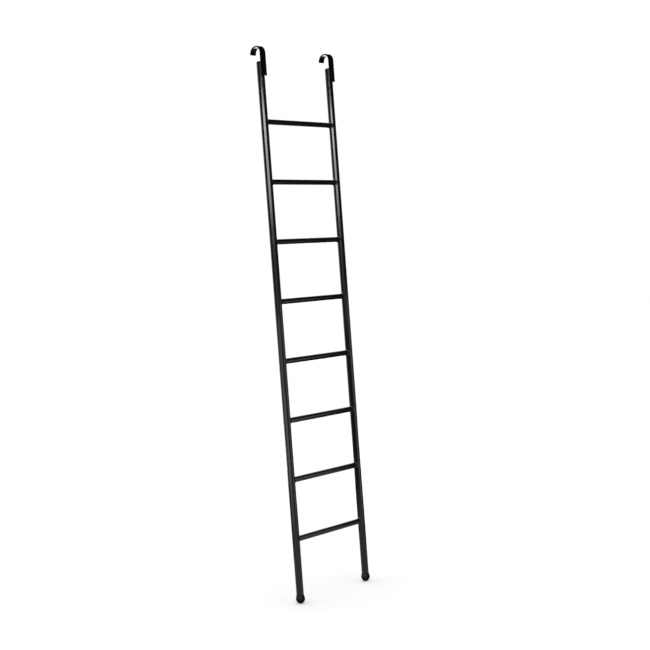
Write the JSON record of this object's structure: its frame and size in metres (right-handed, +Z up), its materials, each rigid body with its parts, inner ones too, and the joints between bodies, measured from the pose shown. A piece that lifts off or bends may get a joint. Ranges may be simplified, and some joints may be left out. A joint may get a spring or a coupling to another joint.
{
  "type": "hook ladder",
  "caption": "Rigid round-tube ladder with flat-bar hooks at the top that hang it over a bar or ledge, and ball-shaped rubber feet.",
  "frame": {"origin": "centre of the hooks' inner arc, midway between the rails, on the axis of the bar that the ladder hangs from; the floor under the feet is at z = -2.583", "axes": "+Z up along the rails, +X along the rungs from the left rail to the right rail as the climber sees them, +Y away from the climber, over the bar"},
  "size_m": [0.512, 0.0706, 2.617],
  "materials": {
    "black_powder_coat": "satin black powder coat on drawn steel tube",
    "black_powder_coat_bar": "satin black powder coat on bent flat steel bar",
    "coated_weld": "weld bead under satin black powder coat",
    "black_plastic": "moulded black polyethylene",
    "black_rubber": "moulded black rubber",
    "zinc_plated_steel": "zinc plated steel, hidden inside the foot"
  },
  "bodies": {
    "root": {"left_rail": "black_powder_coat", "right_rail": "black_powder_coat", "rung_1": "black_powder_coat", "rung_2": "black_powder_coat", "rung_3": "black_powder_coat", "rung_4": "black_powder_coat", "rung_5": "black_powder_coat", "rung_6": "black_powder_coat", "rung_7": "black_powder_coat", "rung_8": "black_powder_coat", "left_hook": "black_powder_coat_bar", "right_hook": "black_powder_coat_bar", "left_top_plug": "black_plastic", "right_top_plug": "black_plastic", "left_foot": "black_rubber", "right_foot": "black_rubber", "left_foot_washer": "zinc_plated_steel", "right_foot_washer": "zinc_plated_steel", "left_rung_welds": "coated_weld", "right_rung_welds": "coated_weld", "left_hook_welds": "coated_weld", "right_hook_welds": "coated_weld"}
  },
  "joints": []
}
